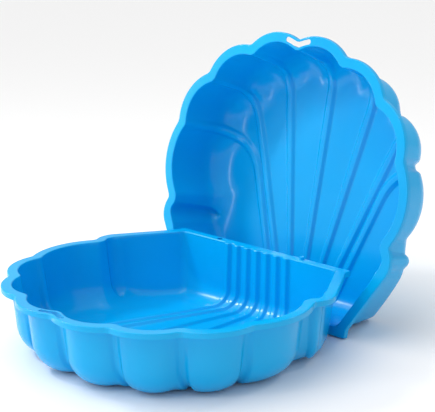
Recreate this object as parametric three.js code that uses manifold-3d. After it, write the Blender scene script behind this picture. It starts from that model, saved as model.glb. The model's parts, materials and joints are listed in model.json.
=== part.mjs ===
// Two-piece clam-shell sandbox: a base pan on the ground and an identical loose cover standing
// behind it. Both are one moulding: a scalloped pan with radiating ribs, a flat rim with a
// turned-down lip, a carrying slot at the front cusp, and a locating peg and hole beside the
// ribs, so that one shell turned over drops onto the other.
//
// Shell frame, millimetres: rim plane at z = 0, pan below it, hinge edge on y = 0, front at -y.

import * as THREE from "three";
import { mergeVertices } from "three/addons/utils/BufferGeometryUtils.js";
import Module from "manifold-3d";

// ---------- driving dimensions ----------

const SKIN = 2.5; // wall thickness of the moulding
const SHELL_HEIGHT = 186; // rim plane to the underside of the floor
const LIP_HEIGHT = 15; // turned-down edge of the rim, from the rim plane
const RIM_WIDTH = 28; // flat rim around the lobes and the straight sides
const HINGE_RIM_WIDTH = 26; // flat rim along the hinge edge

const FRONT_CUSP = [0, -760]; // where the two front lobes meet, on the outer edge
const LOBE_CUSPS = [FRONT_CUSP, [168, -730], [311, -636], [403, -485], [400, -264]];
const LOBE_RISE = [30, 30, 30, 33]; // how far each lobe bulges past its chord
const EAR_RADIUS = 65; // small rounded shoulder between the lobes and the side
const SIDE_START = 292; // where the line of the side edge meets the hinge line
const SIDE_ANGLE = THREE.MathUtils.degToRad(31.2); // side edge, from the y axis
const SIDE_LENGTH = 215; // hinge line to the shoulder
const TAB_LENGTH = 24; // the side edge ends here in a square tab at the hinge

const WALLS = {
  front: { fillet: 80, draft: THREE.MathUtils.degToRad(6) },
  side: { fillet: 36, draft: THREE.MathUtils.degToRad(5) },
  hinge: { fillet: 50, draft: THREE.MathUtils.degToRad(1.5) },
};
const WALL_MIX = 18; // distance over which two neighbouring walls share their profile
const CREASE_ROUNDING = 6; // between two lobes
const CORNER_ROUNDING = 14; // between two walls

const RIB_HEIGHT = 8;
const RIB_PITCH = 35; // spacing where the ribs climb the hinge wall
const RIB_BENDS = [null, [150, -627], [267, -571], [248, -434]]; // turn from a cusp to the hinge
const RIB_BEND_REACH = 70;
const RIB_TOP = { front: 20, hinge: 11 }; // width across the flat top
const RIB_FOOT = { front: 34, hinge: 24 }; // width across the foot
const RIB_FADE = 60; // depth over which a rib grows out of its crease
const RIB_NARROWING = 0.75; // share of its length over which a rib narrows

const PEG = { x: 150, y: -13, diameter: 12.5, height: 8.5, chamfer: 2 };
const HOLE = { x: -150, y: -13, diameter: 16 };
const SLOT = { half: 36, edge: 7.5, width: 14, softening: 6 }; // follows the front cusp

const COVER_TUCK = 24; // cover's lower edge stands this far in under the base's hinge edge

// ---------- mesh density ----------

const LOBE_STEPS = 5;
const EAR_STEPS = 3;
const SPAN_STEPS = [3, 3, 3, 4, 3, 4]; // lines between neighbouring guides, centre to side
const SLOT_STEPS = 6;
const CAP_STEPS = 6;
const ROUND_SEGMENTS = 20;
const ROWS = { front: 7, floor: 3, hinge: 6 };
const FRONT_RUN = 330; // stretch of a section given to the front wall and its fillet
const HINGE_RUN = 250;
const END_SHARE = 0.42; // most of a short section that one end may take
const PATH_SAMPLES = 240;
const SECTION_SAMPLES = 900;

// ---------- guides beyond the ribs, and tolerances ----------

const SIDE_GUIDES = [
  { bend: [300, -215], landing: 175, reach: 60 },
  { bend: [300, -130], landing: 215, reach: 50 },
];
const BEND_SHARE = 0.9; // most of a straight that a bend may take
const LEAD_REACH = 220; // a guide eases onto its rim point over this length
const GRADIENT_STEP = 0.05;
const PROJECTION_STEPS = 12;
const WELD_DISTANCE = 1e-3;

// ---------- small vector helpers ----------

const add = (a, b, scale = 1) => [a[0] + b[0] * scale, a[1] + b[1] * scale];
const sub = (a, b) => [a[0] - b[0], a[1] - b[1]];
const dot = (a, b) => a[0] * b[0] + a[1] * b[1];
const size = (a) => Math.hypot(a[0], a[1]);
const mix = (a, b, f) => [a[0] + (b[0] - a[0]) * f, a[1] + (b[1] - a[1]) * f];
const unit = (a) => [a[0] / size(a), a[1] / size(a)];
const left = (a) => [-a[1], a[0]];
const mirrored = (p) => [-p[0], ...p.slice(1)];

function smoothMax(a, b, rounding) {
  const h = THREE.MathUtils.clamp(0.5 + (0.5 * (a - b)) / rounding, 0, 1);
  return b + (a - b) * h + rounding * h * (1 - h);
}

const smoothMin = (a, b, rounding) => -smoothMax(-a, -b, rounding);

/** Value of y at x on a polyline given by two rising lists. */
function interpolate(x, xs, ys) {
  let low = 0;
  let high = xs.length - 1;
  while (high - low > 1) {
    const middle = (low + high) >> 1;
    if (xs[middle] <= x) low = middle;
    else high = middle;
  }
  const span = xs[high] - xs[low];
  const f = span > 0 ? THREE.MathUtils.clamp((x - xs[low]) / span, 0, 1) : 0;
  return ys[low] + (ys[high] - ys[low]) * f;
}

// ---------- outline ----------

const FLOOR_DEPTH = SHELL_HEIGHT - SKIN;
const SIDE_DIRECTION = [Math.sin(SIDE_ANGLE), -Math.cos(SIDE_ANGLE)]; // away from the hinge
const SIDE_INWARD = [-Math.cos(SIDE_ANGLE), -Math.sin(SIDE_ANGLE)];
const SHOULDER = add([SIDE_START, 0], SIDE_DIRECTION, SIDE_LENGTH);

const LOBES = LOBE_RISE.map((rise, i) => {
  const [from, to] = [LOBE_CUSPS[i], LOBE_CUSPS[i + 1]];
  const half = size(sub(to, from)) / 2;
  const radius = (half * half + rise * rise) / (2 * rise);
  const inward = left(unit(sub(to, from)));
  return { centre: add(mix(from, to, 0.5), inward, radius - rise), radius };
});
LOBES.push({ centre: add(SHOULDER, SIDE_INWARD, EAR_RADIUS), radius: EAR_RADIUS });

/** Point where lobe i meets the next one, on the line that lies `inset` inside the outer edge. */
function cuspBetween(i, inset) {
  const [a, b] = [LOBES[i], LOBES[i + 1]];
  const [ra, rb] = [a.radius - inset, b.radius - inset];
  const apart = sub(b.centre, a.centre);
  const distance = size(apart);
  const along = (ra * ra - rb * rb + distance * distance) / (2 * distance);
  const across = Math.sqrt(ra * ra - along * along);
  const foot = add(a.centre, unit(apart), along);
  return add(foot, left(unit(apart)), -across);
}

function frontCusp(inset) {
  const { centre, radius } = LOBES[0];
  return [0, centre[1] - Math.sqrt((radius - inset) ** 2 - centre[0] ** 2)];
}

/** The five cusps of the right half on an inset line, then the end of the ear's arc. */
function cusps(inset) {
  const between = [0, 1, 2, 3].map((i) => cuspBetween(i, inset));
  return [frontCusp(inset), ...between, add(SHOULDER, SIDE_INWARD, inset)];
}

function arcPoint(i, from, to, f, inset) {
  const { centre, radius } = LOBES[i];
  const start = Math.atan2(from[1] - centre[1], from[0] - centre[0]);
  const end = Math.atan2(to[1] - centre[1], to[0] - centre[0]);
  const angle = start + (end - start) * f;
  const reach = radius - inset;
  return [centre[0] + reach * Math.cos(angle), centre[1] + reach * Math.sin(angle)];
}

/** Closed loop of the rim's outer edge, `inset` inside it, counter-clockwise from the front. */
function outerLoop(inset) {
  const stops = cusps(inset);
  const half = [];
  for (let i = 0; i < LOBES.length; i++) {
    const steps = i < LOBES.length - 1 ? LOBE_STEPS : EAR_STEPS;
    for (let k = 0; k < steps; k++) half.push(arcPoint(i, stops[i], stops[i + 1], k / steps, inset));
  }
  half.push(stops.at(-1));
  const tabStart = add([SIDE_START, 0], SIDE_DIRECTION, TAB_LENGTH / Math.cos(SIDE_ANGLE));
  const tab = add(tabStart, SIDE_INWARD, inset);
  half.push(tab, [tab[0], -inset]);
  return [...half, ...half.slice(1).reverse().map(mirrored)];
}

// ---------- pan ----------

const CHORDS = [...LOBE_CUSPS, SHOULDER].slice(1).map((to, i) => {
  const from = LOBE_CUSPS[i];
  return { from, inward: left(unit(sub(to, from))) };
});

/** How far a point lies inside the opening along the front, a side and the hinge edge. */
function insets([x, y]) {
  const p = [Math.abs(x), y];
  const inside = LOBES.map(({ centre, radius }) => radius - size(sub(p, centre)));
  const twin = LOBES[0].radius - size(sub(p, mirrored(LOBES[0].centre)));
  const scallops = inside.reduce((a, b) => smoothMax(a, b, CREASE_ROUNDING), twin);
  const core = Math.min(...CHORDS.map(({ from, inward }) => dot(sub(p, from), inward)));
  return {
    front: smoothMax(scallops, core, CREASE_ROUNDING) - RIM_WIDTH,
    side: dot(sub(p, [SIDE_START, 0]), SIDE_INWARD) - RIM_WIDTH,
    hinge: -y - HINGE_RIM_WIDTH,
  };
}

function openingInset(p) {
  const { front, side, hinge } = insets(p);
  return smoothMin(smoothMin(front, side, CORNER_ROUNDING), hinge, CORNER_ROUNDING);
}

/** Depth and slope of a drafted wall with a fillet into the floor. */
function wallProfile(inset, { fillet, draft }) {
  const filletEnd = (FLOOR_DEPTH - fillet) * Math.tan(draft) + fillet / Math.cos(draft);
  const filletStart = filletEnd - fillet * Math.cos(draft);
  if (inset <= filletStart) return [inset / Math.tan(draft), 1 / Math.tan(draft)];
  if (inset >= filletEnd) return [FLOOR_DEPTH, 0];
  const out = filletEnd - inset;
  const rise = Math.sqrt(fillet * fillet - out * out);
  return [FLOOR_DEPTH - fillet + rise, out / rise];
}

/** Depth and slope of the plain pan at a plan point, its neighbouring walls mixed. */
function panProfile(p) {
  const gaps = insets(p);
  const nearest = Math.min(...Object.values(gaps));
  const inset = openingInset(p);
  let [depth, slope, total] = [0, 0, 0];
  for (const [wall, gap] of Object.entries(gaps)) {
    const weight = Math.exp((nearest - gap) / WALL_MIX);
    const [wallDepth, wallSlope] = wallProfile(inset, WALLS[wall]);
    depth += weight * wallDepth;
    slope += weight * wallSlope;
    total += weight;
  }
  return [Math.max(depth / total, 0), slope / total];
}

function insetGradient([x, y]) {
  const e = GRADIENT_STEP;
  return [
    (openingInset([x + e, y]) - openingInset([x - e, y])) / (2 * e),
    (openingInset([x, y + e]) - openingInset([x, y - e])) / (2 * e),
  ];
}

/** Nearest point on the edge of the opening. */
function ontoRim(point) {
  let p = point;
  for (let i = 0; i < PROJECTION_STEPS; i++) {
    const g = insetGradient(p);
    p = add(p, g, -openingInset(p) / (dot(g, g) + 1e-9));
  }
  return p;
}

// ---------- guide lines from the front and sides to the hinge edge ----------

/** Samples of a straight, a rounded bend and a straight, evenly spaced along their length. */
function bentPath(from, bend, to, reach) {
  const path = new THREE.CurvePath();
  const v = (p) => new THREE.Vector2(...p);
  if (bend) {
    const straights = [size(sub(bend, from)), size(sub(to, bend))];
    const r = Math.min(reach, BEND_SHARE * Math.min(...straights));
    const start = add(bend, unit(sub(from, bend)), r);
    const end = add(bend, unit(sub(to, bend)), r);
    path.add(new THREE.LineCurve(v(from), v(start)));
    path.add(new THREE.QuadraticBezierCurve(v(start), v(bend), v(end)));
    path.add(new THREE.LineCurve(v(end), v(to)));
  } else {
    path.add(new THREE.LineCurve(v(from), v(to)));
  }
  return Array.from({ length: PATH_SAMPLES + 1 }, (_, i) => {
    const p = path.getPointAt(i / PATH_SAMPLES);
    return [p.x, p.y];
  });
}

const RIM_CUSPS = cusps(RIM_WIDTH);
const INNER_CORNER = [
  SIDE_START + (RIM_WIDTH + HINGE_RIM_WIDTH * SIDE_INWARD[1]) / SIDE_INWARD[0],
  -HINGE_RIM_WIDTH,
];
const ribPaths = RIB_BENDS.map((bend, i) =>
  bentPath(RIM_CUSPS[i], bend, [RIB_PITCH * i, -HINGE_RIM_WIDTH], RIB_BEND_REACH),
);
const sidePaths = SIDE_GUIDES.map(({ bend, landing, reach }, i) =>
  bentPath(RIM_CUSPS[ribPaths.length + i], bend, [landing, -HINGE_RIM_WIDTH], reach),
);
const cornerPath = Array.from({ length: PATH_SAMPLES + 1 }, () => INNER_CORNER);
const guides = [...ribPaths, ...sidePaths, cornerPath];

/** A guide moved sideways by a width that narrows from the front to the hinge. */
function sideways(path, widths, direction) {
  return path.map((p, i) => {
    const along = sub(path[Math.min(i + 1, path.length - 1)], path[Math.max(i - 1, 0)]);
    const narrowing = Math.min(1, i / path.length / RIB_NARROWING);
    const half = (widths.front + (widths.hinge - widths.front) * narrowing) / 2;
    return add(p, left(unit(along)), -direction * half);
  });
}

/** Lines of the right half in order, each with its plan path, rim start and rib height. */
function halfLines() {
  const lines = [];
  for (let k = 0; k + 1 < guides.length; k++) {
    const isRib = k < ribPaths.length;
    const nextIsRib = k + 1 < ribPaths.length;
    const near = isRib ? sideways(guides[k], RIB_FOOT, 1) : guides[k];
    const far = nextIsRib ? sideways(guides[k + 1], RIB_FOOT, -1) : guides[k + 1];
    if (isRib) lines.push({ path: sideways(guides[k], RIB_TOP, 1), rib: RIB_HEIGHT, lobe: k });
    const steps = SPAN_STEPS[k];
    const first = isRib ? 0 : 1;
    for (let i = first; i <= (nextIsRib ? steps : steps - 1); i++) {
      const path = near.map((p, j) => mix(p, far[j], i / steps));
      lines.push({ path, rib: 0, lobe: k });
    }
    if (nextIsRib) lines.push({ path: sideways(guides[k + 1], RIB_TOP, -1), rib: RIB_HEIGHT, lobe: k });
    else lines.push({ path: guides[k + 1], rib: 0, lobe: k });
  }
  return lines;
}

/** Where a line leaves the rim: the chord point moved straight out onto its lobe's arc. */
function rimStart({ path, lobe }) {
  const from = RIM_CUSPS[lobe];
  const to = RIM_CUSPS[lobe + 1] ?? INNER_CORNER;
  const chord = sub(to, from);
  const f = THREE.MathUtils.clamp(dot(sub(path[0], from), chord) / dot(chord, chord), 0, 1);
  return ontoRim(lobe < LOBES.length ? arcPoint(lobe, from, to, f, RIM_WIDTH) : mix(from, to, f));
}

/** A plan path bent onto its rim points at both ends. */
function fittedPath(line) {
  const start = rimStart(line);
  const end = ontoRim(line.path.at(-1));
  const lead = sub(start, line.path[0]);
  const tail = sub(end, line.path.at(-1));
  let run = 0;
  return line.path.map((p, i) => {
    if (i > 0) run += size(sub(p, line.path[i - 1]));
    const ease = THREE.MathUtils.smoothstep(1 - run / LEAD_REACH, 0, 1);
    return add(add(p, lead, ease), tail, (i / PATH_SAMPLES) ** 4);
  });
}

/** Rows of one section: plan point, depth, direction of the wall's normal and rib height. */
function section(line) {
  const path = fittedPath(line);
  const runs = [0];
  for (let i = 1; i < path.length; i++) runs.push(runs[i - 1] + size(sub(path[i], path[i - 1])));
  const samples = [];
  const lengths = [0];
  for (let i = 0; i <= SECTION_SAMPLES; i++) {
    const f = i / SECTION_SAMPLES;
    const run = (runs.at(-1) * f ** 3) / (f ** 3 + (1 - f) ** 3); // crowded at both walls
    const p = [0, 1].map((axis) => interpolate(run, runs, path.map((q) => q[axis])));
    const isEnd = i === 0 || i === SECTION_SAMPLES;
    samples.push([...p, isEnd ? 0 : -panProfile(p)[0]]);
    if (i > 0) {
      const [a, b] = [samples[i - 1], samples[i]];
      lengths.push(lengths[i - 1] + Math.hypot(a[0] - b[0], a[1] - b[1], a[2] - b[2]));
    }
  }
  const total = lengths.at(-1);
  const frontRun = Math.min(FRONT_RUN, END_SHARE * total);
  const hingeRun = Math.min(HINGE_RUN, END_SHARE * total);
  const stops = [
    ...Array.from({ length: ROWS.front }, (_, i) => (frontRun * i) / ROWS.front),
    ...Array.from({ length: ROWS.floor }, (_, i) => {
      return frontRun + ((total - frontRun - hingeRun) * i) / ROWS.floor;
    }),
    ...Array.from({ length: ROWS.hinge + 1 }, (_, i) => total - hingeRun * (1 - i / ROWS.hinge)),
  ];
  const columns = [0, 1, 2].map((axis) => samples.map((s) => s[axis]));
  return stops.map((stop, row) => {
    const [x, y, z] = columns.map((column) => interpolate(stop, lengths, column));
    const gradient = insetGradient([x, y]);
    const isRim = row === 0 || row === stops.length - 1;
    const slope = isRim ? 0 : panProfile([x, y])[1];
    const normal = new THREE.Vector3(gradient[0] * slope, gradient[1] * slope, 1).normalize();
    if (isRim) normal.set(...unit(gradient), 0);
    const growth = stop < total / 2 ? THREE.MathUtils.clamp(-z / RIB_FADE, 0, 1) : 1;
    return { x, y, z, normal, rib: line.rib * growth, isRim };
  });
}

/** Grid points of the pan's face that lies `sink` behind its inner face. */
function facePoints(sections, sink) {
  return sections.map((rows) =>
    rows.map(({ x, y, z, normal, rib, isRim }) => {
      const move = rib - sink;
      const top = isRim ? -sink : z + normal.z * move;
      return [x + normal.x * move, y + normal.y * move, top];
    }),
  );
}

// ---------- closed shell ----------

class Surface {
  positions = [];

  triangle(a, b, c) {
    this.positions.push(...a, ...b, ...c);
  }

  quad(a, b, c, d) {
    this.triangle(a, b, c);
    this.triangle(a, c, d);
  }

  /** Faces between two closed loops of equal length. */
  band(lower, upper) {
    for (let i = 0; i < lower.length; i++) {
      const j = (i + 1) % lower.length;
      this.quad(lower[i], lower[j], upper[j], upper[i]);
    }
  }

  /** Both faces of the pan, each cell split along the diagonal that is shorter on the inner face. */
  panFaces(inner, outer) {
    const cell = (face, i, j) => [face[i + 1][j], face[i + 1][j + 1], face[i][j + 1], face[i][j]];
    const length = (a, b) => Math.hypot(...a.map((v, axis) => v - b[axis]));
    for (let i = 0; i + 1 < inner.length; i++) {
      for (let j = 0; j + 1 < inner[i].length; j++) {
        const [a, b, c, d] = cell(inner, i, j);
        const [e, f, g, h] = cell(outer, i, j);
        if (length(a, c) < length(b, d)) {
          this.quad(a, b, c, d);
          this.quad(e, h, g, f);
        } else {
          this.quad(b, c, d, a);
          this.quad(f, e, h, g);
        }
      }
    }
  }

  /** Flat ring at one height, between an outer loop and a hole, facing up or down. */
  ring(outer, hole, z, up) {
    const loops = [outer, hole].map((loop) => loop.map((p) => new THREE.Vector2(p[0], p[1])));
    const corners = [...outer, ...hole].map((p) => [p[0], p[1], z]);
    for (const [a, b, c] of THREE.ShapeUtils.triangulateShape(loops[0], [loops[1]])) {
      const [second, third] = up ? [b, c] : [c, b];
      this.triangle(corners[a], corners[second], corners[third]);
    }
  }

  geometry() {
    const geometry = new THREE.BufferGeometry();
    geometry.setAttribute("position", new THREE.Float32BufferAttribute(this.positions, 3));
    return welded(geometry);
  }
}

/** The geometry with shared vertices and without the triangles that this collapses. */
function welded(source) {
  const geometry = source.clone();
  geometry.deleteAttribute("normal");
  geometry.deleteAttribute("uv");
  const merged = mergeVertices(geometry, WELD_DISTANCE);
  const index = [];
  for (let i = 0; i < merged.index.count; i += 3) {
    const [a, b, c] = [0, 1, 2].map((k) => merged.index.getX(i + k));
    if (a !== b && b !== c && c !== a) index.push(a, b, c);
  }
  merged.setIndex(index);
  return merged;
}

/** Pan, rim and lip as one closed thin-walled body. */
function plainShell() {
  const right = halfLines().map(section);
  const mirror = (rows) =>
    rows.map((row) => ({
      ...row,
      x: -row.x,
      normal: new THREE.Vector3(-row.normal.x, row.normal.y, row.normal.z),
    }));
  const sections = [...right.map(mirror).reverse(), ...right];
  const surface = new Surface();
  const faces = [0, SKIN].map((sink) => facePoints(sections, sink));
  for (const face of faces) {
    for (const side of [0, face.length - 1]) face[side] = face[side].map(() => face[side][0]);
  }
  surface.panFaces(...faces);
  const [opening, underside] = faces.map((face) => [
    ...face.map((rows) => rows[0]),
    ...face.slice(1, -1).reverse().map((rows) => rows.at(-1)),
  ]);
  const [edge, inner] = [outerLoop(0), outerLoop(SKIN)];
  const at = (loop, z) => loop.map(([x, y]) => [x, y, z]);
  surface.ring(edge, opening, 0, true);
  surface.ring(inner, underside, -SKIN, false);
  surface.band(at(edge, -LIP_HEIGHT), at(edge, 0));
  surface.band(at(inner, -LIP_HEIGHT), at(edge, -LIP_HEIGHT));
  surface.band(at(inner, -SKIN), at(inner, -LIP_HEIGHT));
  return surface.geometry();
}

/** Upright prism of a plan outline, from one height to another. */
function prism(outline, bottom, top) {
  const shape = new THREE.Shape(outline.map((p) => new THREE.Vector2(...p)));
  const geometry = new THREE.ExtrudeGeometry(shape, { depth: top - bottom, bevelEnabled: false });
  return geometry.translate(0, 0, bottom);
}

/** Carrying slot: a smile-shaped band that follows the two front lobes. */
function slotOutline() {
  const { centre, radius } = LOBES[0];
  const row = (inset) =>
    Array.from({ length: 2 * SLOT_STEPS + 1 }, (_, i) => {
      const x = SLOT.half * (i / SLOT_STEPS - 1);
      const across = Math.hypot(x, SLOT.softening) - centre[0];
      return [x, centre[1] - Math.sqrt((radius - inset) ** 2 - across ** 2)];
    });
  const [outer, inner] = [row(SLOT.edge), row(SLOT.edge + SLOT.width)];
  const middle = mix(outer.at(-1), inner.at(-1), 0.5);
  const spoke = sub(outer.at(-1), middle);
  const cap = Array.from({ length: CAP_STEPS - 1 }, (_, i) => {
    const angle = (Math.PI * (i + 1)) / CAP_STEPS;
    return add(add(middle, spoke, Math.cos(angle)), left(spoke), Math.sin(angle));
  });
  return [...outer, ...cap, ...inner.reverse(), ...cap.map(mirrored).reverse()];
}

const wasm = await Module();
wasm.setup();

function solid(geometry) {
  const merged = welded(geometry);
  return new wasm.Manifold(
    new wasm.Mesh({
      numProp: 3,
      vertProperties: new Float32Array(merged.attributes.position.array),
      triVerts: new Uint32Array(merged.index.array),
    }),
  );
}

function bufferGeometry(manifold) {
  const { vertProperties, triVerts } = manifold.getMesh();
  const geometry = new THREE.BufferGeometry();
  geometry.setAttribute("position", new THREE.BufferAttribute(vertProperties, 3));
  geometry.setIndex(new THREE.BufferAttribute(triVerts, 1));
  return geometry;
}

/** Solid of revolution about an upright axis at a plan point, from its [radius, z] profile. */
function turned({ x, y }, profile) {
  const points = profile.map((p) => new THREE.Vector2(...p));
  const geometry = new THREE.LatheGeometry(points, ROUND_SEGMENTS);
  return solid(geometry.rotateX(Math.PI / 2).translate(x, y, 0));
}

function shellGeometry() {
  const slot = solid(prism(slotOutline(), -2 * SKIN, SKIN));
  const holeRadius = HOLE.diameter / 2;
  const hole = turned(HOLE, [
    [0, -2 * SKIN],
    [holeRadius, -2 * SKIN],
    [holeRadius, SKIN],
    [0, SKIN],
  ]);
  const pegRadius = PEG.diameter / 2;
  const peg = turned(PEG, [
    [0, -SKIN / 2],
    [pegRadius, -SKIN / 2],
    [pegRadius, PEG.height - PEG.chamfer],
    [pegRadius - PEG.chamfer, PEG.height],
    [0, PEG.height],
  ]);
  return bufferGeometry(solid(plainShell()).subtract(slot).subtract(hole).add(peg));
}

// ---------- assembly ----------

const plastic = (name) =>
  new THREE.MeshStandardMaterial({ name, color: 0x0096e6, roughness: 0.28, metalness: 0 });

const shell = shellGeometry();

const base = new THREE.Mesh(shell, plastic("base_plastic"));
base.name = "base_shell";
base.position.z = SHELL_HEIGHT;

/**
 * The cover rests on its hinge edge: the lip and the hinge wall's outer fillet both touch the
 * ground, and that sets how far it leans back.
 */
const filletRadius = WALLS.hinge.fillet + SKIN;
const filletFromEdge =
  HINGE_RIM_WIDTH +
  (FLOOR_DEPTH - WALLS.hinge.fillet) * Math.tan(WALLS.hinge.draft) +
  WALLS.hinge.fillet / Math.cos(WALLS.hinge.draft);
const filletBelowLip = SHELL_HEIGHT - filletRadius - LIP_HEIGHT;
const lean =
  Math.atan2(filletFromEdge, filletBelowLip) -
  Math.asin(filletRadius / Math.hypot(filletFromEdge, filletBelowLip));

const cover = new THREE.Mesh(shell.clone(), plastic("cover_plastic"));
cover.name = "cover_shell";
cover.rotation.set(Math.PI / 2 - lean, 0, Math.PI, "XYZ");
cover.position.set(0, -COVER_TUCK, LIP_HEIGHT * Math.sin(lean));

const object = new THREE.Group();
object.name = "sandbox_with_cover";
object.add(base, cover);
object.updateMatrixWorld(true);

// The origin is the middle of the footprint, on the ground.
const box = new THREE.Box3().setFromObject(object, true);
object.position.y = -(box.min.y + box.max.y) / 2;
object.updateMatrixWorld(true);

export default object;
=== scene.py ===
"""Scallop-shaped sandbox with its cover standing behind it, both in glossy blue moulded plastic.

The two shells are one moulding. Its mesh is worked out once, in the shell's own frame in
millimetres: rim plane at z = 0, pan below it, hinge edge on y = 0 and the front at -y. The base
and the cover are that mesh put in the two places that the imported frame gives.
"""
import json
import math

import bmesh
import bpy
import numpy as np
from mathutils import Matrix, Vector
from mathutils.geometry import delaunay_2d_cdt


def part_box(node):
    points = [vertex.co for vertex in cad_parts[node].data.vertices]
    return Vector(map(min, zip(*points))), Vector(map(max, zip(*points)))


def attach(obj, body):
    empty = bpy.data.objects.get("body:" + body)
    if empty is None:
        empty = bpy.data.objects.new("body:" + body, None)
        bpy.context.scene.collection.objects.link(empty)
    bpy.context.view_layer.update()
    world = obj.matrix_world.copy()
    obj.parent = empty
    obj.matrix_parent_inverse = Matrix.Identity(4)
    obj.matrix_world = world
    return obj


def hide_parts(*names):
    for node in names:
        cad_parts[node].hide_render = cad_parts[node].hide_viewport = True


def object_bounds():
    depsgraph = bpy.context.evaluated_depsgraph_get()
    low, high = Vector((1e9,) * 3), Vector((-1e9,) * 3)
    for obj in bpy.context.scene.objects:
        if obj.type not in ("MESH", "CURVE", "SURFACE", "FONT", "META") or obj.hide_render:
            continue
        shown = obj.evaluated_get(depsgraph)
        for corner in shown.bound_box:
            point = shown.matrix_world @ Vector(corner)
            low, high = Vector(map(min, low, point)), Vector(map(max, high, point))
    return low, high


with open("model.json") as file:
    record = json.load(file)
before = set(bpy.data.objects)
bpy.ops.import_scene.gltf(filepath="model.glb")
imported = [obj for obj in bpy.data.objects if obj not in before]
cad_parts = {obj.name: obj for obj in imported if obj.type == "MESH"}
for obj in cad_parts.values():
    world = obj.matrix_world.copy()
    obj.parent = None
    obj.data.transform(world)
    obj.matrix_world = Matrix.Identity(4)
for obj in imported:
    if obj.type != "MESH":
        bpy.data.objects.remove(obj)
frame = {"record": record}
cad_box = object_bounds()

# ---------- driving dimensions, in millimetres ----------

MM = 0.001
SKIN = 2.5
SHELL_HEIGHT = 186.0
LIP_HEIGHT = 15.0
RIM_WIDTH = 28.0
HINGE_RIM_WIDTH = 26.0
FLOOR_DEPTH = SHELL_HEIGHT - SKIN

LOBE_CUSPS = np.array([(0, -760), (168, -730), (311, -636), (403, -485), (400, -264)], float)
LOBE_RISE = (30, 30, 30, 33)
EAR_RADIUS = 65.0
SIDE_START = np.array([292.0, 0.0])
SIDE_ANGLE = math.radians(31.2)
SIDE_LENGTH = 215.0
TAB_LENGTH = 24.0

WALLS = (  # front, side, hinge
    {"fillet": 80.0, "draft": math.radians(6)},
    {"fillet": 22.0, "draft": math.radians(5)},
    {"fillet": 50.0, "draft": math.radians(1.5)},
)
WALL_MIX = 18.0
CREASE_ROUNDING = 6.0
CORNER_ROUNDING = 14.0
RIM_ROUNDING = 3.5  # between the rim and the inside of the pan
EDGE_ROUNDING = 3.0  # between the rim and its turned-down lip
TAB_ROUNDING = 5.0

RIB_HEIGHT = 8.0
RIB_PITCH = 35.0
RIB_BENDS = (None, (150, -627), (267, -571), (248, -434))
RIB_BEND_REACH = 70.0
RIB_TOP = (12.0, 8.0)  # width of the flat top at the front and at the hinge
RIB_FOOT = (44.0, 29.0)
RIB_FADE = 170.0
RIB_NARROWING = 0.75

PEG = {"x": 150.0, "y": -13.0, "radius": 6.25, "height": 8.5, "rounding": 1.5}
HOLE = {"x": -150.0, "y": -13.0, "radius": 8.0}
SLOT = {"half": 36.0, "edge": 7.5, "width": 14.0, "softening": 8.0}
CUT_ROUNDING = 0.8  # edges of the slot and of the hole
UNDER_CHAMFER = 1.0  # inside corner between the lip and the underside of the rim
RIB_LIFT = 4 * RIM_ROUNDING  # depth over which a rib starts to rise as well as to stand out

# ---------- guides beyond the ribs, and mesh density ----------

SIDE_GUIDES = (((300, -215), 175.0, 60.0), ((300, -130), 215.0, 50.0))  # bend, landing, reach
BEND_SHARE = 0.9
LEAD_REACH = 220.0
SPAN_STEPS = (14, 14, 14, 22, 14, 24)
RIB_TOP_SHARES = (0.0, 0.5, 0.85)  # lines over the flat top, as shares of its half-width
RIB_FLANK_LINES = 9
ROWS = {"edge": 7, "front": 44, "floor": 20, "hinge": 36}
EDGE_RUN, FRONT_RUN, HINGE_RUN = 7.0, 330.0, 250.0
END_SHARE = 0.42
PATH_SAMPLES = 400
BEND_SAMPLES = 60
SECTION_SAMPLES = 1600
LOBE_STEPS, EAR_STEPS, CORNER_STEPS = 40, 20, 6
ARC_STEPS = 6
CIRCLE_STEPS = 48
SLOT_STEPS = 24
WELD = 0.002  # points closer than this are one point
NO_LENGTH = 0.001

# ---------- finish, light and camera: metres, watts and degrees ----------

DEEP_BLUE = (0.0, 0.38, 0.78)
CLEAR_BLUE = (0.0, 0.44, 0.86)
FLOOR_WHITE = (0.93, 0.93, 0.93, 1)
FLOOR_REACH = 20.0
FLOOR_GAP = 0.0005  # keeps the floor clear of the shells' undersides

WORLD_STRENGTH = 0.58
OVERHEAD = {"energy": 1.4, "angle": 60, "from": (-0.25, -0.35, 1)}
SOFTBOXES = {  # place, aim, size, power
    "key": ((-2.0, -1.1, 2.1), (0, 0.1, 0.2), (0.4, 0.4), 24),
    "strip_front": ((-0.9, -3.0, 1.2), (0, 0.3, 0.4), (0.12, 1.8), 14),
    "strip_left": ((-3.0, -1.8, 1.0), (0, 0.3, 0.4), (0.12, 1.6), 14),
    "rear": ((1.2, 2.2, 2.4), (0, -0.1, 0.1), (0.4, 0.4), 10),
}

CAMERA_AZIMUTH = 43.28
CAMERA_ELEVATION = 14.75
CAMERA_DISTANCE = 3.571
CAMERA_FOCAL_PIXELS = 1400.8
PHOTO_WIDTH_PIXELS = 435
SENSOR_WIDTH = 36  # millimetres
AIM_FORWARD, AIM_RIGHT, AIM_UP = -0.341, 0.10834, 0.18463  # from the middle of the hinge edge


# ---------- small helpers ----------

def length(v):
    return np.linalg.norm(v, axis=-1)


def unit(v):
    return v / length(v)[..., None]


def left(v):
    return np.stack([-v[..., 1], v[..., 0]], -1)


def smoothstep(v):
    v = np.clip(v, 0, 1)
    return v * v * (3 - 2 * v)


def smooth_max(a, b, rounding):
    h = np.clip(0.5 + 0.5 * (a - b) / rounding, 0, 1)
    return b + (a - b) * h + rounding * h * (1 - h)


def smooth_min(a, b, rounding):
    return -smooth_max(-a, -b, rounding)


def plan_of(points, index):
    return np.array([points[i][:2] for i in index])


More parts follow.
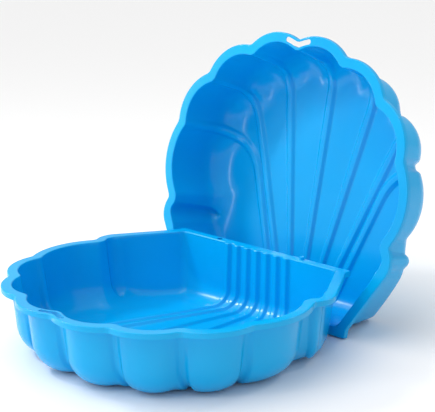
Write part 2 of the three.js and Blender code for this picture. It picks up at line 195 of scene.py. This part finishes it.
def inside(loop, points):
    """Which plan points lie inside a closed loop, by counting crossings towards +x."""
    a, b = loop, np.roll(loop, -1, axis=0)
    x, y = points[:, :1], points[:, 1:]
    spans = (a[:, 1] > y) != (b[:, 1] > y)
    rise = np.where(b[:, 1] == a[:, 1], 1.0, b[:, 1] - a[:, 1])
    crossing = a[:, 0] + (y - a[:, 1]) * (b[:, 0] - a[:, 0]) / rise
    return (spans & (crossing > x)).sum(axis=1) % 2 == 1


def at_height(loop, z):
    """Plan points as points in space, at one height or at a height each."""
    return np.column_stack([loop, np.broadcast_to(z, len(loop))])


# ---------- outline ----------

SIDE_DIRECTION = np.array([math.sin(SIDE_ANGLE), -math.cos(SIDE_ANGLE)])
SIDE_INWARD = np.array([-math.cos(SIDE_ANGLE), -math.sin(SIDE_ANGLE)])
SHOULDER = SIDE_START + SIDE_DIRECTION * SIDE_LENGTH


def lobe_circles():
    circles = []
    for start, end, rise in zip(LOBE_CUSPS[:-1], LOBE_CUSPS[1:], LOBE_RISE):
        half = length(end - start) / 2
        radius = (half * half + rise * rise) / (2 * rise)
        circles.append(((start + end) / 2 + left(unit(end - start)) * (radius - rise), radius))
    circles.append((SHOULDER + SIDE_INWARD * EAR_RADIUS, EAR_RADIUS))
    return circles


LOBES = lobe_circles()
STOPS = np.vstack([LOBE_CUSPS, SHOULDER])
CHORDS = [(a, left(unit(b - a))) for a, b in zip(STOPS[:-1], STOPS[1:])]


def scallop_inset(p):
    """How far a point lies inside the outer edge along the lobes."""
    folded = np.stack([np.abs(p[..., 0]), p[..., 1]], -1)
    centre, radius = LOBES[0]
    scallops = radius - length(folded - centre * (-1, 1))
    for centre, radius in LOBES:
        scallops = smooth_max(scallops, radius - length(folded - centre), CREASE_ROUNDING)
    core = np.min([(folded - start) @ inward for start, inward in CHORDS], axis=0)
    return smooth_max(scallops, core, CREASE_ROUNDING)


def wall_insets(p):
    """How far a point lies inside the opening from the front, a side and the hinge edge."""
    folded = np.stack([np.abs(p[..., 0]), p[..., 1]], -1)
    side = (folded - SIDE_START) @ SIDE_INWARD - RIM_WIDTH
    return scallop_inset(p) - RIM_WIDTH, side, -p[..., 1] - HINGE_RIM_WIDTH


def opening_inset(p):
    front, side, hinge = wall_insets(p)
    return smooth_min(smooth_min(front, side, CORNER_ROUNDING), hinge, CORNER_ROUNDING)


def gradient(field, p, step=0.05):
    dx, dy = np.array([step, 0.0]), np.array([0.0, step])
    across = field(p + dx) - field(p - dx)
    along = field(p + dy) - field(p - dy)
    return np.stack([across, along], -1) / (2 * step)


def onto(field, p, value, rounds=12):
    """Points moved along the field's slope until the field has a given value."""
    for _ in range(rounds):
        slope = gradient(field, p)
        p = p + slope * ((value - field(p)) / ((slope**2).sum(-1) + 1e-9))[..., None]
    return p


def cusp_between(i, inset):
    (a, ra), (b, rb) = LOBES[i], LOBES[i + 1]
    ra, rb = ra - inset, rb - inset
    apart = length(b - a)
    along = (ra**2 - rb**2 + apart**2) / (2 * apart)
    across = math.sqrt(ra**2 - along**2)
    return a + unit(b - a) * along - left(unit(b - a)) * across


def cusps(inset):
    """The right half's five cusps on an inset line, then the end of the ear's arc."""
    centre, radius = LOBES[0]
    front = np.array([0, centre[1] - math.sqrt((radius - inset) ** 2 - centre[0] ** 2)])
    between = [cusp_between(i, inset) for i in range(4)]
    return [front, *between, SHOULDER + SIDE_INWARD * inset]


def arc_points(i, start, end, fractions, inset):
    centre, radius = LOBES[i]
    first = math.atan2(*(start - centre)[::-1])
    last = math.atan2(*(end - centre)[::-1])
    angles = first + (last - first) * np.asarray(fractions)
    return centre + (radius - inset) * np.stack([np.cos(angles), np.sin(angles)], -1)


def rounded_corner(before, corner, after, radius):
    """Arc that rounds one corner of a polygon."""
    a, b = unit(before - corner), unit(after - corner)
    half = math.acos(float(a @ b)) / 2
    centre = corner + unit(a + b) * (radius / math.sin(half))
    start = corner + a * (radius / math.tan(half)) - centre
    end = corner + b * (radius / math.tan(half)) - centre
    turn = math.atan2(start[0] * end[1] - start[1] * end[0], float(start @ end))
    angles = turn * np.linspace(0, 1, CORNER_STEPS + 1)
    spin = np.stack([np.cos(angles), np.sin(angles)], -1)
    return centre + spin[:, :1] * start + spin[:, 1:] * left(start)


def outer_loop(inset):
    """Closed loop of the rim's outer edge, counter-clockwise from the front cusp."""
    stops = cusps(inset)
    lobes = []
    for i in range(len(LOBES)):
        steps = LOBE_STEPS if i < len(LOBES) - 1 else EAR_STEPS
        fractions = np.arange(steps) / steps
        lobes.append(arc_points(i, stops[i], stops[i + 1], fractions, inset))
    scallops = onto(scallop_inset, np.vstack(lobes), inset)
    tab_start = SIDE_START + SIDE_DIRECTION * TAB_LENGTH / math.cos(SIDE_ANGLE)
    tab = tab_start + SIDE_INWARD * inset
    corner = np.array([tab[0], -inset])
    shoulder = stops[-1]
    radius = TAB_ROUNDING - inset
    tab_arc = rounded_corner(shoulder, tab, corner, TAB_ROUNDING + inset)
    hinge_arc = rounded_corner(tab, corner, np.array([0.0, -inset]), radius)
    half = np.vstack([scallops, [shoulder], tab_arc, hinge_arc])
    return np.vstack([half, half[:0:-1] * (-1, 1)])


# ---------- pan ----------

def wall_profile(inset, fillet, draft):
    """Depth, slope, and slope without the rounded rim, of a drafted wall with a fillet."""
    fillet_end = (FLOOR_DEPTH - fillet) * math.tan(draft) + fillet / math.cos(draft)
    fillet_start = fillet_end - fillet * math.cos(draft)
    out = fillet_end - np.clip(inset, fillet_start, fillet_end)
    rise = np.sqrt(np.maximum(fillet**2 - out**2, 1e-9))
    straight = inset < fillet_start
    plain_slope = np.where(straight, 1 / math.tan(draft), out / rise)
    depth = np.where(straight, inset / math.tan(draft), FLOOR_DEPTH - fillet + rise)
    reach = RIM_ROUNDING * math.tan((math.pi / 2 - draft) / 2)
    over = np.clip(inset + reach, 0, RIM_ROUNDING * math.cos(draft))
    drop = np.sqrt(RIM_ROUNDING**2 - over**2)
    rounded = inset < RIM_ROUNDING * math.cos(draft) - reach
    depth = np.where(rounded, RIM_ROUNDING - drop, depth)
    return depth, np.where(rounded, over / drop, plain_slope), plain_slope


def pan_profile(p):
    """Depth and the two slopes of the pan without its ribs, its neighbouring walls mixed."""
    gaps = wall_insets(p)
    nearest = np.min(gaps, axis=0)
    inset = opening_inset(p)
    weights = [np.exp((nearest - gap) / WALL_MIX) for gap in gaps]
    profiles = [wall_profile(inset, **wall) for wall in WALLS]
    total = sum(weights)
    return [sum(w * values[k] for w, values in zip(weights, profiles)) / total for k in range(3)]


def bent_path(start, bend, end, reach):
    """Evenly spaced samples of a straight, a rounded bend and a straight."""
    start, end = np.asarray(start, float), np.asarray(end, float)
    if bend is None:
        corners = np.array([start, end])
    else:
        bend = np.asarray(bend, float)
        reach = min(reach, BEND_SHARE * min(length(start - bend), length(end - bend)))
        a, b = bend + unit(start - bend) * reach, bend + unit(end - bend) * reach
        t = np.linspace(0, 1, BEND_SAMPLES)[:, None]
        corners = np.vstack([start, (1 - t) ** 2 * a + 2 * t * (1 - t) * bend + t**2 * b, end])
    runs = np.concatenate([[0], np.cumsum(length(np.diff(corners, axis=0)))])
    wanted = np.linspace(0, runs[-1], PATH_SAMPLES + 1)
    return np.stack([np.interp(wanted, runs, corners[:, axis]) for axis in (0, 1)], -1)


RIM_CUSPS = cusps(RIM_WIDTH)
INNER_CORNER = np.array([
    SIDE_START[0] + (RIM_WIDTH + HINGE_RIM_WIDTH * SIDE_INWARD[1]) / SIDE_INWARD[0],
    -HINGE_RIM_WIDTH,
])


def guide_paths():
    ribs = [
        bent_path(RIM_CUSPS[i], bend, (RIB_PITCH * i, -HINGE_RIM_WIDTH), RIB_BEND_REACH)
        for i, bend in enumerate(RIB_BENDS)
    ]
    sides = [
        bent_path(RIM_CUSPS[len(ribs) + i], bend, (landing, -HINGE_RIM_WIDTH), reach)
        for i, (bend, landing, reach) in enumerate(SIDE_GUIDES)
    ]
    return [*ribs, *sides, np.tile(INNER_CORNER, (PATH_SAMPLES + 1, 1))]


def sideways(path, widths, direction):
    """A guide moved sideways by half a width that narrows from the front to the hinge."""
    narrowing = np.minimum(1, np.arange(len(path)) / len(path) / RIB_NARROWING)
    half = (widths[0] + (widths[1] - widths[0]) * narrowing) / 2
    return path - left(unit(np.gradient(path, axis=0))) * (direction * half)[:, None]


def rib_lines(guide, direction):
    """Lines over half a rib, from its middle to its foot, with their heights."""
    top, foot = np.array(RIB_TOP), np.array(RIB_FOOT)
    lines = [(sideways(guide, top * f, direction), RIB_HEIGHT) for f in RIB_TOP_SHARES]
    for f in np.linspace(0, 1, RIB_FLANK_LINES):
        height = RIB_HEIGHT * float(smoothstep(1 - f))
        lines.append((sideways(guide, top + (foot - top) * f, direction), height))
    return lines


def half_lines():
    """Plan path, rib height and lobe of each line, from the middle to the hinge corner."""
    guides, ribs = guide_paths(), len(RIB_BENDS)
    lines = []
    for k, steps in enumerate(SPAN_STEPS):
        near = rib_lines(guides[k], 1) if k < ribs else [(guides[k], 0.0)]
        far = rib_lines(guides[k + 1], -1)[:0:-1] if k + 1 < ribs else []
        start = near[-1][0]
        end = far[0][0] if far else guides[k + 1]
        fractions = np.arange(1, steps) / steps
        between = [(start + (end - start) * f, 0.0) for f in fractions]
        lines += [(path, rib, k) for path, rib in [*near, *between, *far]]
    lines.append((guides[-1], 0.0, len(SPAN_STEPS) - 1))
    return lines


def rim_start(path, lobe):
    """Where a line leaves the rim: its chord point moved straight out onto its lobe."""
    start = RIM_CUSPS[lobe]
    end = RIM_CUSPS[lobe + 1] if lobe + 1 < len(RIM_CUSPS) else INNER_CORNER
    chord = end - start
    f = float(np.clip((path[0] - start) @ chord / (chord @ chord), 0, 1))
    return arc_points(lobe, start, end, f, RIM_WIDTH) if lobe < len(LOBES) else start + chord * f


def fitted_paths(lines):
    """Plan paths bent so that both ends lie where the rim's rounding begins."""
    paths = np.array([path for path, _, _ in lines])
    starts = np.array([rim_start(path, lobe) for path, _, lobe in lines])
    starts = onto(opening_inset, starts, -RIM_ROUNDING)
    ends = onto(opening_inset, paths[:, -1], -RIM_ROUNDING)
    steps = length(np.diff(paths, axis=1))
    runs = np.concatenate([np.zeros((len(paths), 1)), np.cumsum(steps, axis=1)], axis=1)
    lead = smoothstep(1 - runs / LEAD_REACH)[..., None]
    tail = (np.linspace(0, 1, PATH_SAMPLES + 1) ** 4)[:, None]
    return paths + (starts - paths[:, 0])[:, None] * lead + (ends - paths[:, -1])[:, None] * tail


def row_stops(total):
    """Distances along a section of its rows: close together at the rounded rim and the walls."""
    edge = min(EDGE_RUN, 0.1 * total)
    front, hinge = min(FRONT_RUN, END_SHARE * total), min(HINGE_RUN, END_SHARE * total)
    bounds = [0, edge, front, total - hinge, total - edge]
    counts = [ROWS["edge"], ROWS["front"], ROWS["floor"], ROWS["hinge"]]
    parts = [np.linspace(a, b, n, endpoint=False) for a, b, n in zip(bounds, bounds[1:], counts)]
    return np.concatenate([*parts, np.linspace(total - edge, total, ROWS["edge"] + 1)])


def half_pan():
    """Grid over the right half of the pan: its points, which way it faces, and its ribs."""
    lines = half_lines()
    f = np.linspace(0, 1, SECTION_SAMPLES + 1)
    shares = f**3 / (f**3 + (1 - f) ** 3)  # crowded at both walls
    plans = []
    for path in fitted_paths(lines):
        runs = np.concatenate([[0], np.cumsum(length(np.diff(path, axis=0)))])
        wanted = shares * runs[-1]
        plans.append(np.stack([np.interp(wanted, runs, path[:, axis]) for axis in (0, 1)], -1))
    plans = np.array(plans)
    depth = np.maximum(pan_profile(plans)[0], 0)
    depth[:, [0, -1]] = 0
    space = np.concatenate([plans, -depth[..., None]], -1)
    points, shares_along = [], []
    for samples in space:
        runs = np.concatenate([[0], np.cumsum(length(np.diff(samples, axis=0)))])
        stops = row_stops(runs[-1])
        columns = [np.interp(stops, runs, samples[:, axis]) for axis in range(3)]
        points.append(np.stack(columns, -1))
        shares_along.append(stops / max(runs[-1], 1e-9))
    points, shares_along = np.array(points), np.array(shares_along)
    _, slope, plain_slope = pan_profile(points[..., :2])
    uphill = gradient(opening_inset, points[..., :2])
    facing = unit(np.concatenate([uphill * slope[..., None], np.ones_like(slope)[..., None]], -1))
    facing[:, [0, -1]] = (0, 0, 1)
    lift = smoothstep(-points[..., 2] / RIB_LIFT)[..., None]
    rib_way = unit(np.concatenate([uphill * plain_slope[..., None], lift], -1) + (0, 0, 1e-9))
    fade = np.where(shares_along < 0.5, smoothstep(-points[..., 2] / RIB_FADE), 1.0)
    heights = np.array([rib for _, rib, _ in lines])[:, None] * fade
    return points + rib_way * heights[..., None], facing


def pan_faces():
    """The pan's inner and outer face as two grids of points, from the left side to the right."""
    points, facing = half_pan()
    both = []
    for sink in (0, SKIN):
        half = points - facing * sink
        half[-1] = half[-1, 0]
        mirrored = half[:0:-1] * (-1, 1, 1)
        both.append(np.concatenate([mirrored, half]))
    return both


# ---------- one closed mesh ----------

class Surface:
    """Points and faces of a mesh in the making."""

    def __init__(self):
        self.points = []
        self.faces = []

    def add(self, points):
        """Stores an array of points and returns their indices, in the same arrangement."""
        flat = np.reshape(points, (-1, 3))
        first = len(self.points)
        self.points.extend(map(tuple, flat))
        return np.arange(first, first + len(flat)).reshape(np.shape(points)[:-1])

    def grid(self, index):
        corners = [index[:-1, :-1], index[1:, :-1], index[1:, 1:], index[:-1, 1:]]
        self.faces.extend(np.stack(corners, -1).reshape(-1, 4).tolist())

    def loops(self, loops):
        """Bands between closed loops of equal length, each given as indices."""
        stack = np.array(loops)
        self.grid(np.concatenate([stack, stack[:, :1]], axis=1))

    def ring(self, outer, holes):
        """Flat sheet between an outer loop and its holes, all at one height."""
        order = np.concatenate([outer, *holes])
        plan = np.array([self.points[i][:2] for i in order])
        edges, first = [], 0
        for loop in (outer, *holes):
            n = len(loop)
            edges += [(first + i, first + (i + 1) % n) for i in range(n)]
            first += n
        triangles_inside = 1
        made = delaunay_2d_cdt([Vector(p) for p in plan], edges, [], triangles_inside, 1e-6)
        source = np.array([ids[0] for ids in made[3]])
        faces = source[np.array(made[2])]
        centres = plan[faces].mean(axis=1)
        in_hole = np.any([inside(plan_of(self.points, hole), centres) for hole in holes], axis=0)
        self.faces.extend(order[faces[~in_hole]].tolist())

    def mesh(self, name):
        mesh = bpy.data.meshes.new(name)
        mesh.from_pydata(self.points, [], self.faces)
        work = bmesh.new()
        work.from_mesh(mesh)
        bmesh.ops.remove_doubles(work, verts=work.verts, dist=WELD)
        bmesh.ops.dissolve_degenerate(work, edges=work.edges, dist=NO_LENGTH)
        bmesh.ops.recalc_face_normals(work, faces=work.faces)
        work.to_mesh(mesh)
        work.free()
        mesh.shade_smooth()
        return mesh


def circle(spec, radius):
    angles = np.arange(CIRCLE_STEPS) * 2 * math.pi / CIRCLE_STEPS
    return np.array([spec["x"], spec["y"]]) + radius * np.stack([np.cos(angles), np.sin(angles)], -1)


def slot_loop(grow):
    """Outline of the carrying slot, which follows the two front lobes."""
    centre, radius = LOBES[0]
    x = np.linspace(-SLOT["half"], SLOT["half"], 2 * SLOT_STEPS + 1)
    across = np.hypot(x, SLOT["softening"]) - centre[0]

    def row(inset):
        return np.stack([x, centre[1] - np.sqrt((radius - inset) ** 2 - across**2)], -1)

    outer = row(SLOT["edge"] - grow)
    inner = row(SLOT["edge"] + SLOT["width"] + grow)
    middle = (outer[-1] + inner[-1]) / 2
    spoke = outer[-1] - middle
    angles = np.pi * np.arange(1, ARC_STEPS * 2) / (ARC_STEPS * 2)
    cap = middle + np.cos(angles)[:, None] * spoke + np.sin(angles)[:, None] * left(spoke)
    return np.vstack([outer, cap, inner[::-1], cap[::-1] * (-1, 1)])


def quarter():
    """Sine and one minus cosine of the steps of a quarter turn."""
    angles = np.linspace(0, math.pi / 2, ARC_STEPS + 1)
    return list(zip(np.sin(angles), 1 - np.cos(angles)))


def cut_edges(surface, outline):
    """Wall of a hole through the rim with both its edges rounded, and its two end loops."""
    loops = []
    for sine, drop in quarter():
        loops.append(at_height(outline(CUT_ROUNDING * (1 - sine)), -CUT_ROUNDING * drop))
    for sine, drop in reversed(quarter()):
        loops.append(at_height(outline(CUT_ROUNDING * (1 - sine)), -SKIN + CUT_ROUNDING * drop))
    index = [surface.add(loop) for loop in loops]
    surface.loops(index)
    return index[0], index[-1]


def peg(surface):
    """Locating peg with a small fillet at its foot and a rounded top; returns its foot loop."""
    r, rounding = PEG["radius"], PEG["rounding"]
    profile = [(r + rounding * (1 - sine), rounding * drop) for sine, drop in quarter()]
    top = PEG["height"] - rounding
    profile += [(r - rounding * drop, top + rounding * sine) for sine, drop in quarter()]
    loops = [surface.add(at_height(circle(PEG, radius), z)) for radius, z in profile]
    surface.loops(loops)
    centre = surface.add([(PEG["x"], PEG["y"], PEG["height"])])[0]
    last = loops[-1]
    surface.faces.extend([[int(a), int(b), int(centre)] for a, b in zip(last, np.roll(last, -1))])
    return loops[0]


def lip(surface):
    """Rounded outer edge, lip and underside of the lip; returns its top and underside loops."""
    loops = []
    for sine, drop in quarter():
        loops.append(at_height(outer_loop(EDGE_ROUNDING * (1 - sine)), -EDGE_ROUNDING * drop))
    half_skin = SKIN / 2
    for sine, drop in quarter():
        z = -LIP_HEIGHT + half_skin * (1 - sine)
        loops.append(at_height(outer_loop(half_skin * drop), z))
    for sine, drop in reversed(quarter()[:-1]):
        z = -LIP_HEIGHT + half_skin * (1 - sine)
        loops.append(at_height(outer_loop(SKIN - half_skin * drop), z))
    loops.append(at_height(outer_loop(SKIN), -SKIN - UNDER_CHAMFER))
    loops.append(at_height(outer_loop(SKIN + UNDER_CHAMFER), -SKIN))
    index = [surface.add(loop) for loop in loops]
    surface.loops(index)
    return index[0], index[-1]


def shell_mesh():
    surface = Surface()
    openings = []
    for face in pan_faces():
        index = surface.add(face)
        surface.grid(index)
        openings.append(np.concatenate([index[:, 0], index[1:-1, -1][::-1]]))
    top, under = lip(surface)
    slot_top, slot_under = cut_edges(surface, slot_loop)
    hole_top, hole_under = cut_edges(surface, lambda grow: circle(HOLE, HOLE["radius"] + grow))
    foot = peg(surface)
    surface.ring(top, [openings[0], slot_top, hole_top, foot])
    surface.ring(under, [openings[1], slot_under, hole_under])
    return surface.mesh("shell")


# ---------- the two shells in their places ----------

def base_place():
    low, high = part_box("base_shell")
    return Matrix.Translation((0, high.y, high.z - PEG["height"] * MM))


def cover_place():
    """The cover lies flat behind the base at its joint's limit; this turns it back to rest."""
    tip = frame["record"]["behaviour"]["joints"][0]
    swing = math.radians(tip["range_deg"][1])
    pole = Vector(tip["pos_m"])
    behind = (SHELL_HEIGHT - LIP_HEIGHT) * MM * math.tan(math.pi / 2 - swing)
    flat = Matrix.Translation((0, pole.y - behind, SHELL_HEIGHT * MM)) @ Matrix.Rotation(math.pi, 4, "Z")
    turn = Matrix.Rotation(swing, 4, "X")
    return Matrix.Translation(pole) @ turn @ Matrix.Translation(-pole) @ flat


def place_shell(mesh, name, body, node, place, material):
    moved = mesh.copy()
    moved.name = name
    moved.transform(place @ Matrix.Scale(MM, 4))
    moved.materials.append(material)
    shell = bpy.data.objects.new(name, moved)
    bpy.context.collection.objects.link(shell)
    weighted = shell.modifiers.new("even_shading", "WEIGHTED_NORMAL")
    weighted.keep_sharp = False
    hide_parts(node)
    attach(shell, body)
    return shell


# ---------- material ----------

def node(tree, kind, inputs=None, **settings):
    made = tree.nodes.new(kind)
    for key, value in settings.items():
        setattr(made, key, value)
    for key, value in (inputs or {}).items():
        made.inputs[key].default_value = value
    return made


def ramp(tree, source, stops):
    """Colour ramp fed by a socket; stops are (position, colour)."""
    made = node(tree, "ShaderNodeValToRGB")
    elements = made.color_ramp.elements
    for element, (position, colour) in zip(elements, stops):
        element.position = position
        element.color = (*colour, 1)
    tree.links.new(source, made.inputs["Fac"])
    return made.outputs["Color"]


def moulded_plastic(name):
    """Glossy blue polyethylene: slight colour drift, soft waves of the moulding and light scuffs."""
    material = bpy.data.materials.new(name)
    material.use_nodes = True
    tree = material.node_tree
    shader = tree.nodes["Principled BSDF"]
    place = node(tree, "ShaderNodeTexCoord").outputs["Object"]

    def noise(scale, detail, roughness=0.5):
        made = node(tree, "ShaderNodeTexNoise",
                    {"Scale": scale, "Detail": detail, "Roughness": roughness})
        tree.links.new(place, made.inputs["Vector"])
        return made.outputs["Fac"]

    drift = ramp(tree, noise(3.0, 2.0), [(0.3, DEEP_BLUE), (0.7, CLEAR_BLUE)])
    tree.links.new(drift, shader.inputs["Base Color"])
    gloss = node(tree, "ShaderNodeMapRange",
                 {"From Min": 0.3, "From Max": 0.75, "To Min": 0.17, "To Max": 0.27})
    tree.links.new(noise(9.0, 5.0, 0.6), gloss.inputs["Value"])
    tree.links.new(gloss.outputs["Result"], shader.inputs["Roughness"])
    waves = node(tree, "ShaderNodeBump", {"Strength": 0.2, "Distance": 0.0012})
    tree.links.new(noise(14.0, 1.0), waves.inputs["Height"])
    skin = node(tree, "ShaderNodeBump", {"Strength": 0.12, "Distance": 0.00008})
    tree.links.new(noise(420.0, 2.0), skin.inputs["Height"])
    tree.links.new(waves.outputs["Normal"], skin.inputs["Normal"])
    tree.links.new(skin.outputs["Normal"], shader.inputs["Normal"])
    shader.inputs["Specular IOR Level"].default_value = 0.32
    shader.inputs["IOR"].default_value = 1.5
    return material


# ---------- stage, light and camera ----------

def floor():
    mesh = bpy.data.meshes.new("studio_floor")
    turns = ((-1, -1), (1, -1), (1, 1), (-1, 1))
    corners = [(x * FLOOR_REACH, y * FLOOR_REACH, 0) for x, y in turns]
    mesh.from_pydata(corners, [], [(0, 1, 2, 3)])
    sheet = bpy.data.objects.new("studio_floor", mesh)
    bpy.context.collection.objects.link(sheet)
    sheet.location.z = min(cad_box[0].z, 0) - FLOOR_GAP
    material = bpy.data.materials.new("pale_floor")
    material.use_nodes = True
    shader = material.node_tree.nodes["Principled BSDF"]
    shader.inputs["Base Color"].default_value = FLOOR_WHITE
    shader.inputs["Roughness"].default_value = 0.7
    mesh.materials.append(material)


def lamp(name, kind):
    """A light's data and the object that holds it."""
    light = bpy.data.lights.new(name, kind)
    holder = bpy.data.objects.new(name, light)
    bpy.context.collection.objects.link(holder)
    return light, holder


def softbox(name, place, aim, size, power):
    light, holder = lamp(name, "AREA")
    light.shape = "RECTANGLE"
    light.size, light.size_y = size
    light.energy = power
    holder.location = place
    holder.rotation_euler = (Vector(aim) - holder.location).to_track_quat("-Z", "Y").to_euler()


def studio_light():
    world = bpy.data.worlds.new("studio")
    world.use_nodes = True
    background = world.node_tree.nodes["Background"]
    background.inputs["Color"].default_value = (1, 1, 1, 1)
    background.inputs["Strength"].default_value = WORLD_STRENGTH
    bpy.context.scene.world = world
    bpy.context.scene.view_settings.view_transform = "Standard"
    light, holder = lamp("overhead", "SUN")
    light.energy = OVERHEAD["energy"]
    light.angle = math.radians(OVERHEAD["angle"])
    holder.rotation_euler = Vector(OVERHEAD["from"]).to_track_quat("Z", "Y").to_euler()
    for name, setting in SOFTBOXES.items():
        softbox(name, *setting)


def photo_camera():
    azimuth, elevation = math.radians(CAMERA_AZIMUTH), math.radians(CAMERA_ELEVATION)
    back = Vector((math.sin(azimuth) * math.cos(elevation),
                   -math.cos(azimuth) * math.cos(elevation), math.sin(elevation)))
    right = Vector((math.cos(azimuth), math.sin(azimuth), 0))
    hinge_edge = base_place().translation
    target = hinge_edge + Vector((0, AIM_FORWARD, AIM_UP)) + right * AIM_RIGHT
    camera = bpy.data.cameras.new("photo_camera")
    camera.sensor_width = SENSOR_WIDTH
    camera.lens = SENSOR_WIDTH * CAMERA_FOCAL_PIXELS / PHOTO_WIDTH_PIXELS
    holder = bpy.data.objects.new("photo_camera", camera)
    bpy.context.collection.objects.link(holder)
    holder.location = target + back * CAMERA_DISTANCE
    holder.rotation_euler = back.to_track_quat("Z", "Y").to_euler()
    bpy.context.scene.camera = holder


def main():
    mesh = shell_mesh()
    place_shell(mesh, "base_moulding", "base", "base_shell",
                base_place(), moulded_plastic("base_blue_plastic"))
    place_shell(mesh, "cover_moulding", "cover", "cover_shell",
                cover_place(), moulded_plastic("cover_blue_plastic"))
    bpy.data.meshes.remove(mesh)
    floor()
    studio_light()
    photo_camera()


main()
